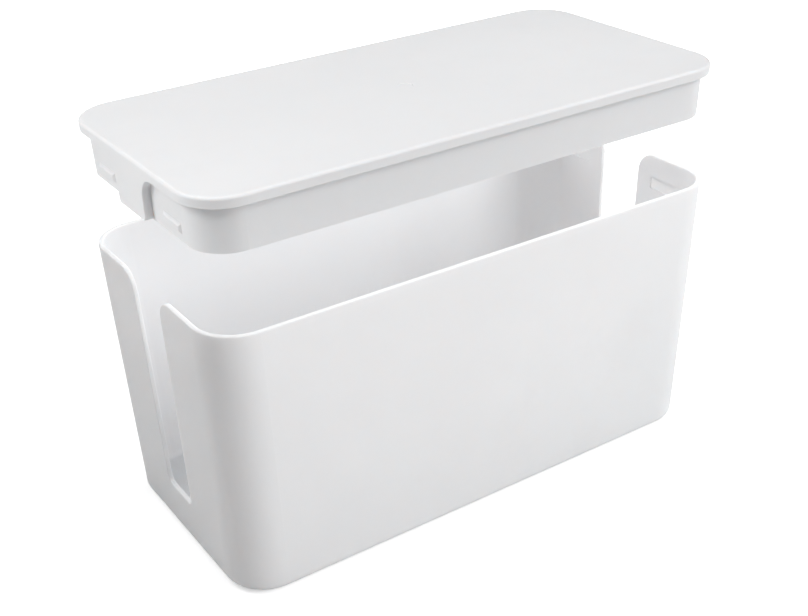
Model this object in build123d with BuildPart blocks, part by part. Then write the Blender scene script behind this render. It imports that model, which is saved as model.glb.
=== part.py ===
from build123d import *

import os
from math import cos, radians, sin, tan

# Cable box: an open-topped tub that hides a power strip, with a cable slot in each end wall,
# a lift-off lid whose end tongues close the tops of the slots, and four glued rubber feet.
# Millimetres. X runs along the length, Y from front to back, Z up.
# The origin is on the table, under the centre of the tub.

# ---- tub ----
RIM_LENGTH = 235.0        # outside, at the rim
RIM_WIDTH = 115.0
RIM_Z = 116.2             # rim above the table
CORNER_RADIUS = 17.8      # upright corners, the same from rim to base
WALL = 2.0
WALL_DRAFT = 1.9          # degrees, every wall leans outwards as it rises
FLOOR_THICKNESS = 2.4
BASE_EDGE_RADIUS = 3.6    # outside, where the walls meet the base
FLOOR_EDGE_RADIUS = 2.0   # inside, where the walls meet the floor
RIM_ROUNDING = 0.45       # softened edges along the rim and down the slots
BASE_GATE_RADIUS = 7.0    # shallow dish under the base, over the moulding gate
BASE_GATE_DEPTH = 0.6
FLOOR_EJECTOR_SPACING = (60.0, 68.0)   # of a four by two grid, inside

# ---- cable slots, seen from the end ----
SLOT_HALF_WIDTH = 12.0    # at the rim
SLOT_DRAFT = 0.9          # degrees, each side leans in towards the base
SLOT_FLOOR_Z = 21.6
SLOT_FOOT_RADIUS = 3.5
EAR_RADIUS = 9.0          # where each side of a slot turns over into the rim

# ---- catches: ribs on the lid over pockets in the tub, either side of each slot ----
CATCH_OFFSET = 28.3       # from the middle of the slot
CATCH_DEPTH = 12.6        # below the rim
POCKET_LENGTH = 16.0
POCKET_HEIGHT = 5.0
POCKET_DEPTH = 0.4
POCKET_CORNER_RADIUS = 0.5
RIB_LENGTH = 14.2
RIB_HEIGHT = 4.0
RIB_PROUD = 0.75
RIB_BEVEL = 54.0          # degrees, the sloping sides of the ribs
DISH_BEVEL = 40.0

# ---- lid ----
LID_OVERHANG = 0.3        # beyond the rim, all round
LIP_HEIGHT = 4.2
LIP_DRAFT = 1.0           # degrees, outer face of lip and tongues
LIP_EDGE_RADIUS = 1.2
LIP_UNDER_RADIUS = 0.35
PLATE_THICKNESS = 2.2
PLATE_CORNER_RADIUS = 1.2 # inside, where the skirt meets the plate
SKIRT_DEPTH = 17.6        # below the lip
SKIRT_WALL = 1.8
SKIRT_CLEARANCE = 0.85    # skirt to the inside of the tub
SEAT_GAP = 0.05           # under the lip of a seated lid
REST_LIFT = 46.8          # the lid is drawn this far above its seat
TONGUE_CLEARANCE = 0.3    # to each side of the slot
TONGUE_FOOT_RADIUS = 1.6
TONGUE_WALL = 2.0
GUSSET_PLACES = (33.8, 58.0)   # along the lid, each way from its centre
GUSSET_LEG = 9.0
GUSSET_THICKNESS = 1.2
GATE_RADIUS = 3.0         # shallow dish in the middle of the lid
GATE_DEPTH = 0.2
PLATE_EJECTOR_SPACING = (46.0, 62.0)   # of a four by two grid, underneath

# ---- round marks that the mould's ejector pins leave ----
EJECTOR_RADIUS = 3.5
EJECTOR_DEPTH = 0.15

# ---- feet ----
FOOT_RADIUS = 6.0
FOOT_THICKNESS = 1.4
FOOT_STAND = 0.8          # below the base
FOOT_EDGE_RADIUS = 0.4
FOOT_SEAT_RADIUS = 6.3
FOOT_X = 88.0
FOOT_Y = 33.0

# ---- sizes and heights that follow ----
LEAN = tan(radians(WALL_DRAFT))
BASE_Z = FOOT_STAND
FLOOR_Z = BASE_Z + FLOOR_THICKNESS
LIP_Z = RIM_Z + SEAT_GAP + REST_LIFT
LID_TOP_Z = LIP_Z + LIP_HEIGHT
PLATE_Z = LID_TOP_Z - PLATE_THICKNESS
SKIRT_FOOT_Z = LIP_Z - SKIRT_DEPTH
SKIRT_INSET = WALL + SKIRT_CLEARANCE
HOLLOW_INSET = SKIRT_INSET + SKIRT_WALL
TONGUE_HALF_WIDTH = SLOT_HALF_WIDTH - TONGUE_CLEARANCE
CATCHES = ((CATCH_OFFSET, -CATCH_DEPTH), (-CATCH_OFFSET, -CATCH_DEPTH))
REACH = 3.0               # how far a cutting shape starts clear of what it cuts


def outline(inset, radius):
    """The rim's rounded rectangle, drawn in by inset."""
    return RectangleRounded(RIM_LENGTH - 2 * inset, RIM_WIDTH - 2 * inset, radius)


def end_view(x, z):
    """Seen along X, with local x along Y and local y up."""
    return Plane(origin=(x, 0, z), x_dir=(0, 1, 0), z_dir=(1, 0, 0))


def end_wall(end, inset, z):
    """On a leaning end wall that is inset from the rim's end at height z, facing outwards."""
    lean = radians(WALL_DRAFT)
    centre = (end * (RIM_LENGTH / 2 - inset), 0, z)
    return Plane(origin=centre, x_dir=(0, end, 0), z_dir=(end * cos(lean), 0, -sin(lean)))


def slot_shape(z, half_width, depth, shoulder_radius, foot_radius):
    """A slot or tongue seen from the end, hanging from a wide bar whose lower edge is at z."""
    foot = half_width - depth * tan(radians(SLOT_DRAFT))
    shoulder = half_width + shoulder_radius + REACH
    right = [(foot, -depth), (half_width, 0), (shoulder, 0), (shoulder, REACH)]
    left = [(-x, y) for x, y in reversed(right)]
    with BuildSketch(end_view(0, z)) as shape:
        Polygon(*right, *left, align=None)
        fillet(shape.vertices().sort_by_distance((0, 0))[:2], shoulder_radius)
        fillet(shape.vertices().group_by(Axis.Y)[0], foot_radius)
    return shape.sketch


# ---- tub ----
with BuildPart() as tub:
    with BuildSketch(Plane.XY.offset(BASE_Z)):
        outline((RIM_Z - BASE_Z) * LEAN, CORNER_RADIUS)
    with BuildSketch(Plane.XY.offset(RIM_Z)):
        outline(0, CORNER_RADIUS)
    loft(ruled=True)
    fillet(tub.edges().group_by(Axis.Z)[0], BASE_EDGE_RADIUS)

    with BuildSketch(Plane.XY.offset(FLOOR_Z)):
        outline((RIM_Z - FLOOR_Z) * LEAN + WALL, CORNER_RADIUS - WALL)
    with BuildSketch(Plane.XY.offset(RIM_Z)):
        outline(WALL, CORNER_RADIUS - WALL)
    loft(ruled=True, mode=Mode.SUBTRACT)
    floor = tub.faces().filter_by(Plane.XY).sort_by(Axis.Z)[1]
    fillet(floor.edges(), FLOOR_EDGE_RADIUS)

    # A cable slot in both end walls, then the rim and slot edges softened.
    slot = slot_shape(
        RIM_Z, SLOT_HALF_WIDTH, RIM_Z - SLOT_FLOOR_Z, EAR_RADIUS, SLOT_FOOT_RADIUS
    )
    extrude(slot, amount=RIM_LENGTH, both=True, mode=Mode.SUBTRACT)
    rim_faces = tub.faces().filter_by(lambda f: f.bounding_box().min.Z > RIM_Z - WALL)
    slot_faces = tub.faces().filter_by(
        lambda f: abs(f.center().X) > 0.4 * RIM_LENGTH and abs(f.normal_at().X) < 1e-6
    )
    edges_round_wall = (rim_faces + slot_faces).edges()
    fillet(edges_round_wall.filter_by(lambda e: e.length > 1.5 * WALL), RIM_ROUNDING)

    # Catch pockets, inside the end walls.
    for end in (1, -1):
        with BuildSketch(end_wall(end, WALL, RIM_Z).offset(-REACH)):
            with Locations(CATCHES):
                RectangleRounded(POCKET_LENGTH, POCKET_HEIGHT, POCKET_CORNER_RADIUS)
        extrude(amount=REACH + POCKET_DEPTH, mode=Mode.SUBTRACT)

    with BuildSketch(Plane.XY.offset(FLOOR_Z)):
        with GridLocations(*FLOOR_EJECTOR_SPACING, 4, 2):
            Circle(EJECTOR_RADIUS)
    extrude(amount=-EJECTOR_DEPTH, mode=Mode.SUBTRACT)

    # Under the base: seats for the feet, and the gate's dish.
    with BuildSketch(Plane.XY.offset(BASE_Z)):
        with GridLocations(2 * FOOT_X, 2 * FOOT_Y, 2, 2):
            Circle(FOOT_SEAT_RADIUS)
    extrude(amount=FOOT_THICKNESS - FOOT_STAND, mode=Mode.SUBTRACT)
    with BuildSketch(Plane.XY.offset(BASE_Z)):
        Circle(BASE_GATE_RADIUS)
    extrude(amount=BASE_GATE_DEPTH, taper=DISH_BEVEL, mode=Mode.SUBTRACT)

# ---- lid ----
# The space round the skirt, below the lip and either side of the tongues.
with BuildPart() as skirt_surround:
    with BuildSketch(Plane.XY.offset(SKIRT_FOOT_Z - REACH)):
        Rectangle(RIM_LENGTH + 4 * REACH, RIM_WIDTH + 4 * REACH)
    extrude(amount=SKIRT_DEPTH + REACH)
    with BuildSketch(Plane.XY.offset(SKIRT_FOOT_Z - REACH)):
        outline(SKIRT_INSET + (SKIRT_DEPTH + REACH) * LEAN, CORNER_RADIUS - SKIRT_INSET)
    with BuildSketch(Plane.XY.offset(LIP_Z)):
        outline(SKIRT_INSET, CORNER_RADIUS - SKIRT_INSET)
    loft(ruled=True, mode=Mode.SUBTRACT)
    tongue = slot_shape(
        LIP_Z, TONGUE_HALF_WIDTH, SKIRT_DEPTH, EAR_RADIUS + TONGUE_CLEARANCE, TONGUE_FOOT_RADIUS
    )
    extrude(tongue, amount=RIM_LENGTH, both=True, mode=Mode.SUBTRACT)

with BuildPart() as lid:
    with BuildSketch(Plane.XY.offset(LID_TOP_Z)):
        outline(-LID_OVERHANG, CORNER_RADIUS + LID_OVERHANG)
    extrude(amount=-LIP_HEIGHT - SKIRT_DEPTH, taper=LIP_DRAFT)
    add(skirt_surround.part, mode=Mode.SUBTRACT)
    lid_top = lid.faces().sort_by(Axis.Z)[-1]
    fillet(lid_top.edges(), LIP_EDGE_RADIUS)
    outer_faces = lid.faces().filter_by(lambda f: f.bounding_box().max.Z > LIP_Z + 1)
    outer_edges = outer_faces.edges()
    fillet(outer_edges.filter_by(lambda e: e.bounding_box().max.Z < LIP_Z + 0.1), LIP_UNDER_RADIUS)

    # Hollow underside: inside the skirt, and a bay behind each tongue.
    with BuildSketch(Plane.XY.offset(SKIRT_FOOT_Z)):
        outline(HOLLOW_INSET + SKIRT_DEPTH * LEAN, CORNER_RADIUS - HOLLOW_INSET)
    with BuildSketch(Plane.XY.offset(PLATE_Z)):
        outline(HOLLOW_INSET - (PLATE_Z - LIP_Z) * LEAN, CORNER_RADIUS - HOLLOW_INSET)
    loft(ruled=True, mode=Mode.SUBTRACT)
    plate = lid.faces().filter_by(Plane.XY).sort_by(lambda f: abs(f.center().Z - PLATE_Z))[0]
    fillet(plate.edges(), PLATE_CORNER_RADIUS)
    with BuildSketch(end_view(0, LIP_Z - SKIRT_DEPTH / 2)):
        Rectangle(2 * (TONGUE_HALF_WIDTH - TONGUE_WALL), SKIRT_DEPTH)
    extrude(amount=RIM_LENGTH / 2 + LID_OVERHANG - TONGUE_WALL, both=True, mode=Mode.SUBTRACT)

    # Snap ribs, outside the skirt's ends.
    for end in (1, -1):
        with BuildSketch(end_wall(end, SKIRT_INSET, LIP_Z)) as ribs:
            with Locations(CATCHES):
                Rectangle(RIB_LENGTH, RIB_HEIGHT)
        extrude(amount=RIB_PROUD, taper=RIB_BEVEL)
        extrude(ribs.sketch, amount=-SKIRT_WALL / 2)

    # Gussets between the plate and the long sides of the skirt, rooted in both.
    root_y = RIM_WIDTH / 2 - HOLLOW_INSET + SKIRT_WALL / 2
    root_z = PLATE_THICKNESS / 2
    for x in GUSSET_PLACES:
        for end in (1, -1):
            with BuildSketch(end_view(end * x, PLATE_Z)):
                Polygon(
                    (root_y, root_z),
                    (root_y - GUSSET_LEG, root_z),
                    (root_y, root_z - GUSSET_LEG),
                    align=None,
                )
                mirror(about=Plane.YZ)
            extrude(amount=GUSSET_THICKNESS / 2, both=True)

    with BuildSketch(Plane.XY.offset(PLATE_Z)):
        with GridLocations(*PLATE_EJECTOR_SPACING, 4, 2):
            Circle(EJECTOR_RADIUS)
    extrude(amount=EJECTOR_DEPTH, mode=Mode.SUBTRACT)
    with BuildSketch(Plane.XY.offset(LID_TOP_Z)):
        Circle(GATE_RADIUS)
    extrude(amount=-GATE_DEPTH, taper=DISH_BEVEL, mode=Mode.SUBTRACT)

os.makedirs("parts", exist_ok=True)
tub.part.label = "tub"
export_step(tub.part, "parts/tub.step")
lid.part.label = "lid"
export_step(lid.part, "parts/lid.step")

# ---- feet ----
foot_places = {
    "foot_front_left": (-FOOT_X, -FOOT_Y),
    "foot_front_right": (FOOT_X, -FOOT_Y),
    "foot_back_left": (-FOOT_X, FOOT_Y),
    "foot_back_right": (FOOT_X, FOOT_Y),
}
for name, place in foot_places.items():
    with BuildPart() as foot:
        with BuildSketch():
            with Locations(place):
                Circle(FOOT_RADIUS)
        extrude(amount=FOOT_THICKNESS)
        fillet(foot.edges().group_by(Axis.Z)[0], FOOT_EDGE_RADIUS)
    foot.part.label = name
    export_step(foot.part, f"parts/{name}.step")
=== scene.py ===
"""Looks of the cable box: satin white mouldings, grey rubber feet, white table, soft light.

Metres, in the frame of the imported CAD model: X along the box, Y from front to back, Z up from
the table. The tub, the lid and the feet are the CAD nodes; this script gives them materials.
"""

from functools import reduce
from math import cos, radians, sin

import bpy
from mathutils import Matrix, Vector


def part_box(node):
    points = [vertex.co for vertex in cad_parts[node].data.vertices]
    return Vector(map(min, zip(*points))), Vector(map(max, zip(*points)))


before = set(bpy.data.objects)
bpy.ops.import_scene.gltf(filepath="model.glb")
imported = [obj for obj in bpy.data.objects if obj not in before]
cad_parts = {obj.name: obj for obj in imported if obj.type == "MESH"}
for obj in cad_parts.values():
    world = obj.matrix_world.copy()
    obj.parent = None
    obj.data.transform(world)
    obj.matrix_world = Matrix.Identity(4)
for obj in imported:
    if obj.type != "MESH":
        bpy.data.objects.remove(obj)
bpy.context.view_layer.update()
MM = 0.001

# ---- camera, fitted to the outline of the tub ----
CAMERA_PLACE = Vector((-0.2642, -0.4025, 0.3250))
CAMERA_AZIMUTH = -32.83   # degrees round from the front, negative towards the left end
CAMERA_ELEVATION = 28.0   # degrees above level
CAMERA_ROLL = -2.1        # degrees
CAMERA_LENS = 57.0        # mm
SENSOR_WIDTH = 36.0       # mm

# ---- light ----
SOFT_BOX_SIZE = 1.0
SOFT_BOX_DISTANCE = 1.9
LIGHTS_AIM = Vector((0, 0, 0.08))
# Azimuth and elevation in degrees, like the camera's, then watts.
SOFT_BOXES = {
    "tub": {
        "right": (36, 27, 22.5),
        "back_left": (-148, 32, 15.5),
        "back_right": (120, 40, 18),
        "left": (-40, 60, 6),
        "top": (0, 85, 4.5),
    },
    "lid": {
        "right": (37, 34, 23),
        "back_left": (-108, 38, 25.5),
        "left": (-40, 65, 8),
        "top": (0, 85, 6),
    },
}
TABLE_SIZE = 6.0
# Painted light: the table glows for the camera only and lights nothing else.
TABLE_GLOW = (0.50, 1.0)  # what the table adds to its lit white, near the box and far from it
GLOW_REACH = (0.15, 0.80) # how near and how far

# ---- places in the moulding whose inner features show faintly on the outside ----
CATCH_OFFSET = 28.3 * MM
CATCH_LENGTH = 16 * MM
CATCH_HEIGHT_IN_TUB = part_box("tub")[1][2] - 12.6 * MM
LIP_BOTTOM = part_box("lid")[1][2] - 4.2 * MM
WEB_PLACES = (33.8 * MM, 58.0 * MM)

# ---- materials: linear colours, depth of the grain, and how far light spreads inside ----
TUB_WHITE = (0.792, 0.798, 0.809)
LID_WHITE = (0.80, 0.803, 0.812)
RUBBER_GREY = (0.16, 0.165, 0.17)
TABLE_WHITE = (0.90, 0.90, 0.90)
TUB_GRAIN = 0.016 * MM
LID_GRAIN = 0.022 * MM
TUB_LIGHT_REACH = 4.0 * MM
LID_LIGHT_REACH = 0.8 * MM
LIGHT_SPREAD = (1.1, 1.0, 0.95)   # of red, green and blue
PLASTIC_IOR = 1.49
PLASTIC_GLOSS = 0.4
RUBBER_IOR = 1.52


# ---------------------------------------------------------------- node helpers
class Nodes:
    """A material's node tree, with one short call for each kind of node that is used here."""

    def __init__(self, name):
        self.material = bpy.data.materials.new(name)
        self.material.use_nodes = True
        self.tree = self.material.node_tree
        self.tree.nodes.clear()
        self.place = self.add("ShaderNodeTexCoord").outputs["Object"]
        self.x, self.y, self.z = self.split(self.place)
        geometry = self.add("ShaderNodeNewGeometry")
        self.facing = geometry.outputs["Normal"]
        self.seen_from_behind = geometry.outputs["Backfacing"]
        self.facing_x, self.facing_y, self.facing_z = self.split(self.facing)

    def add(self, kind, inputs=None, **settings):
        """A node of that kind. Each input is a number, a colour or another node's output."""
        node = self.tree.nodes.new(kind)
        for key, value in settings.items():
            setattr(node, key, value)
        for key, value in (inputs or {}).items():
            if isinstance(value, bpy.types.NodeSocket):
                self.tree.links.new(value, node.inputs[key])
            else:
                node.inputs[key].default_value = value
        return node

    def split(self, vector):
        return self.add("ShaderNodeSeparateXYZ", {"Vector": vector}).outputs

    def noise(self, size, detail=2.0, roughness=0.5, stretch=(1, 1, 1)):
        """Noise from 0 to 1, in blotches of that size, drawn out along the axes by stretch."""
        scale = tuple(1 / (size * s) for s in stretch)
        mapping = self.add("ShaderNodeMapping", {"Vector": self.place, "Scale": scale})
        place = mapping.outputs["Vector"]
        inputs = {"Vector": place, "Scale": 1.0, "Detail": detail, "Roughness": roughness}
        return self.add("ShaderNodeTexNoise", inputs).outputs["Fac"]

    def math(self, operation, a, b=0.0):
        return self.add("ShaderNodeMath", {0: a, 1: b}, operation=operation).outputs[0]

    def times(self, *values):
        return reduce(lambda a, b: self.math("MULTIPLY", a, b), values)

    def sum(self, *values):
        return reduce(lambda a, b: self.math("ADD", a, b), values)

    def inverse(self, value):
        return self.math("SUBTRACT", 1.0, value)

    def spread(self, value, low, high):
        """value from 0..1 to low..high."""
        inputs = {"Value": value, "To Min": low, "To Max": high}
        return self.add("ShaderNodeMapRange", inputs).outputs["Result"]

    def step(self, value, low, high):
        """0 below low, 1 above high, and smooth between them."""
        inputs = {"Value": value, "From Min": low, "From Max": high}
        node = self.add("ShaderNodeMapRange", inputs, interpolation_type="SMOOTHSTEP")
        return node.outputs["Result"]

    def band(self, value, middle, half_width, fade):
        """1 where value is within half_width of middle or of -middle, and 0 beyond the fade."""
        away = self.math("ABSOLUTE", self.math("SUBTRACT", self.math("ABSOLUTE", value), middle))
        return self.inverse(self.step(away, half_width, half_width + fade))

    def mix(self, factor, a, b):
        """Colour a where factor is 0, and colour b where it is 1."""
        node = self.add("ShaderNodeMix", data_type="RGBA")
        inputs = {socket.identifier: socket for socket in node.inputs}
        for key, value in (("Factor_Float", factor), ("A_Color", a), ("B_Color", b)):
            if isinstance(value, bpy.types.NodeSocket):
                self.tree.links.new(value, inputs[key])
            else:
                inputs[key].default_value = value
        return next(socket for socket in node.outputs if socket.identifier == "Result_Color")

    def edges(self, radius):
        """0 on open faces, rising towards 1 where a face turns away within radius."""
        rounded = self.add("ShaderNodeBevel", {"Radius": radius}, samples=4).outputs["Normal"]
        both = {0: rounded, 1: self.facing}
        dot = self.add("ShaderNodeVectorMath", both, operation="DOT_PRODUCT")
        return self.inverse(dot.outputs["Value"])

    def inside(self):
        """1 on walls that face the middle of the box, 0 on walls that face outwards."""
        outward = self.sum(self.times(self.x, self.facing_x), self.times(self.y, self.facing_y))
        return self.step(outward, -1 * MM, -6 * MM)

    def finish(self, relief, **inputs):
        """Puts the surface together, with its relief in metres, and returns the material."""
        bump = self.add("ShaderNodeBump", {"Height": relief, "Distance": 1.0})
        inputs["Normal"] = bump.outputs["Normal"]
        surface = self.add("ShaderNodeBsdfPrincipled", inputs)
        output = self.add("ShaderNodeOutputMaterial")
        self.tree.links.new(surface.outputs["BSDF"], output.inputs["Surface"])
        return self.material


def tone(colour, factor=1.0):
    """A colour made lighter or darker, as a node takes it."""
    return tuple(min(1.0, factor * c) for c in colour) + (1.0,)


# ---------------------------------------------------------------- materials
def moulded_plastic(name, white, grain_depth, light_reach, read_through):
    """Satin moulded plastic. Its outside has a fine spark-eroded grain and its inside is smoother.

    Light spreads for light_reach within it, so a thin wall glows a little on its shaded side.
    read_through(n) gives the relief of the faint marks that inner features leave on the outside.
    """
    n = Nodes(name)
    inside = n.inside()
    edge = n.step(n.edges(0.6 * MM), 0.03, 0.35)
    grain = n.noise(0.45 * MM, detail=3, roughness=0.6)
    peel = n.noise(6 * MM, detail=1)
    flow = n.noise(130 * MM, detail=3, roughness=0.6)
    haze = n.noise(22 * MM, detail=5, roughness=0.65)
    scuffs = n.times(
        n.step(n.noise(1.1 * MM, detail=2, roughness=0.7, stretch=(14, 1, 1)), 0.66, 0.72),
        n.step(n.noise(45 * MM, detail=2), 0.50, 0.64),
    )
    drag_lines = n.noise(1.3 * MM, detail=2, roughness=0.6, stretch=(1, 1, 60))

    colour = n.mix(n.step(flow, 0.35, 0.65), tone(white, 0.975), tone(white, 1.0))
    colour = n.mix(n.times(n.step(haze, 0.45, 0.75), 0.5), colour, tone(white, 0.965))
    # Painted highlight: the rounded edges are a little lighter in colour.
    colour = n.mix(n.times(edge, 0.15), colour, tone(white, 1.02))

    rough = n.sum(n.spread(haze, 0.50, 0.64), n.times(n.math("SUBTRACT", grain, 0.5), 0.12))
    rough = n.sum(rough, n.times(inside, -0.07), n.times(edge, -0.02), n.times(scuffs, -0.10))

    relief = n.sum(
        n.times(grain, n.spread(inside, grain_depth, 0.3 * grain_depth)),
        n.times(peel, 0.030 * MM),
        n.times(flow, 0.30 * MM),
        n.times(scuffs, -0.004 * MM),
        n.times(drag_lines, inside, 0.006 * MM),
        read_through(n),
    )
    return n.finish(
        relief,
        **{
            "Base Color": colour,
            "Roughness": rough,
            "IOR": PLASTIC_IOR,
            "Specular IOR Level": PLASTIC_GLOSS,
            "Subsurface Weight": 1.0,
            "Subsurface Radius": LIGHT_SPREAD,
            "Subsurface Scale": light_reach,
        }
    )


def tub_read_through(n):
    """The catch pockets inside the ears show on the outside as faint low rectangles."""
    ends = n.step(n.math("ABSOLUTE", n.facing_x), 0.85, 0.95)
    outline = n.times(
        n.band(n.y, CATCH_OFFSET, CATCH_LENGTH / 2 - 2 * MM, 3 * MM),
        n.band(n.z, CATCH_HEIGHT_IN_TUB, 1.5 * MM, 2.5 * MM),
    )
    return n.times(outline, ends, n.inverse(n.inside()), 0.05 * MM)


def lid_read_through(n):
    """The stiffening webs inside the skirt leave faint upright sink marks on its outside."""
    long_sides = n.step(n.math("ABSOLUTE", n.facing_y), 0.85, 0.95)
    below_lip = n.inverse(n.step(n.z, LIP_BOTTOM - 1 * MM, LIP_BOTTOM))
    lines = n.sum(*(n.band(n.x, place, 0.3 * MM, 2.2 * MM) for place in WEB_PLACES))
    return n.times(lines, long_sides, below_lip, n.inverse(n.inside()), -0.025 * MM)


def foot_rubber():
    """Matt grey rubber with a fine grain, smoother underneath, with blotches of dust on all but its
    sole, and a little lighter along its edges and on its sole.
    """
    n = Nodes("foot_rubber")
    grain = n.noise(0.30 * MM, detail=4, roughness=0.7)
    blotch = n.noise(3.5 * MM, detail=4, roughness=0.65)
    sole = n.step(n.facing_z, -0.6, -0.95)
    dust = n.times(n.step(blotch, 0.50, 0.70), n.inverse(sole))
    edge = n.step(n.edges(0.4 * MM), 0.03, 0.35)
    colour = n.mix(n.times(dust, 0.35), tone(RUBBER_GREY), tone(RUBBER_GREY, 2.0))
    # A little lighter along the rounded edges and on the sole.
    colour = n.mix(n.times(n.sum(edge, sole), 0.18), colour, tone(RUBBER_GREY, 1.6))
    rough = n.sum(n.spread(grain, 0.74, 0.92), n.times(sole, -0.18))
    relief = n.sum(n.times(grain, 0.045 * MM), n.times(blotch, 0.05 * MM))
    return n.finish(relief, **{"Base Color": colour, "Roughness": rough, "IOR": RUBBER_IOR})


def dress(material, *nodes):
    """Gives CAD nodes a material in place of their plain one."""
    for name in nodes:
        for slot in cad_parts[name].material_slots:
            slot.material = material


tub_plastic = moulded_plastic(
    "tub_plastic_satin", TUB_WHITE, TUB_GRAIN, TUB_LIGHT_REACH, tub_read_through
)
lid_plastic = moulded_plastic(
    "lid_plastic_satin", LID_WHITE, LID_GRAIN, LID_LIGHT_REACH, lid_read_through
)
dress(tub_plastic, "tub")
dress(lid_plastic, "lid")
dress(foot_rubber(), *(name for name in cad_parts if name.startswith("foot_")))


# ---------------------------------------------------------------- table, light and camera
def table_top():
    """A large white table with painted light: it glows for the camera only, and more far from the
    box than near it, so that it stays white where the soft boxes reach it less.

    From underneath it isn't seen, so that it doesn't hide the base of the box.
    """
    mesh = bpy.data.meshes.new("table")
    h = TABLE_SIZE / 2
    mesh.from_pydata([(-h, -h, 0), (h, -h, 0), (h, h, 0), (-h, h, 0)], [], [(0, 1, 2, 3)])
    table = bpy.data.objects.new("table", mesh)
    bpy.context.scene.collection.objects.link(table)
    n = Nodes("table_white")
    haze = n.noise(30 * MM, detail=4)
    seen = n.add("ShaderNodeLightPath").outputs["Is Camera Ray"]
    away = n.add("ShaderNodeVectorMath", {0: n.place}, operation="LENGTH").outputs["Value"]
    # Painted light: a glow that only the camera sees, weaker near the box than far from it.
    glow = n.spread(n.step(away, *GLOW_REACH), *TABLE_GLOW)
    n.finish(
        n.times(haze, 0.01 * MM),
        **{
            "Base Color": tone(TABLE_WHITE),
            "Alpha": n.inverse(n.seen_from_behind),
            "Roughness": n.spread(haze, 0.65, 0.8),
            "Emission Color": (1.0, 1.0, 1.0, 1.0),
            "Emission Strength": n.times(seen, glow),
        }
    )
    mesh.materials.append(n.material)
    return table


def group(name, objects):
    collection = bpy.data.collections.new(name)
    for item in objects:
        collection.objects.link(item)
    return collection


def soft_box(name, azimuth, elevation, watts, lights_up, casts_shadows):
    """A square soft box aimed at the object, for one group of objects, shaded by another."""
    a, e = radians(azimuth), radians(elevation)
    back = Vector((sin(a) * cos(e), -cos(a) * cos(e), sin(e)))
    data = bpy.data.lights.new(name, "AREA")
    data.shape = "SQUARE"
    data.size = SOFT_BOX_SIZE
    data.energy = watts
    light = bpy.data.objects.new(name, data)
    light.location = LIGHTS_AIM + back * SOFT_BOX_DISTANCE
    light.rotation_euler = back.to_track_quat("Z", "Y").to_euler()
    light.light_linking.receiver_collection = lights_up
    light.light_linking.blocker_collection = casts_shadows
    bpy.context.scene.collection.objects.link(light)


def studio(table):
    """Two rigs of soft boxes, because the lid and the tub were lit separately.

    The lid casts no shadow on the tub or the table. The tub shades the lid when it is seated.
    """
    lid = [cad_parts["lid"]]
    box = [node for name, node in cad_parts.items() if name != "lid"]
    for rig, lit, shading in (("tub", box + [table], box), ("lid", lid, lid + box)):
        lights_up = group(f"lit_with_{rig}", lit)
        casts_shadows = group(f"shade_on_{rig}", shading)
        for place, (azimuth, elevation, watts) in SOFT_BOXES[rig].items():
            soft_box(f"{rig}_{place}", azimuth, elevation, watts, lights_up, casts_shadows)


def backdrop():
    """White behind everything, as the camera sees it, and no light from it."""
    world = bpy.data.worlds.new("white_backdrop")
    bpy.context.scene.world = world
    world.use_nodes = True
    nodes = world.node_tree.nodes
    seen = nodes.new("ShaderNodeLightPath").outputs["Is Camera Ray"]
    nodes["Background"].inputs["Color"].default_value = (1.0, 1.0, 1.0, 1.0)
    world.node_tree.links.new(seen, nodes["Background"].inputs["Strength"])


def camera():
    a, e, roll = radians(CAMERA_AZIMUTH), radians(CAMERA_ELEVATION), radians(CAMERA_ROLL)
    back = Vector((sin(a) * cos(e), -cos(a) * cos(e), sin(e)))
    right = Vector((cos(a), sin(a), 0))
    up = back.cross(right)
    right, up = right * cos(roll) + up * sin(roll), up * cos(roll) - right * sin(roll)
    data = bpy.data.cameras.new("photo_camera")
    data.lens = CAMERA_LENS
    data.sensor_width = SENSOR_WIDTH
    data.clip_start = 0.01
    data.clip_end = 50.0
    cam = bpy.data.objects.new("photo_camera", data)
    turn = Matrix((right, up, back)).transposed().to_4x4()
    cam.matrix_world = Matrix.Translation(CAMERA_PLACE) @ turn
    bpy.context.scene.collection.objects.link(cam)
    bpy.context.scene.camera = cam


studio(table_top())
backdrop()
camera()
bpy.context.scene.view_settings.view_transform = "Standard"
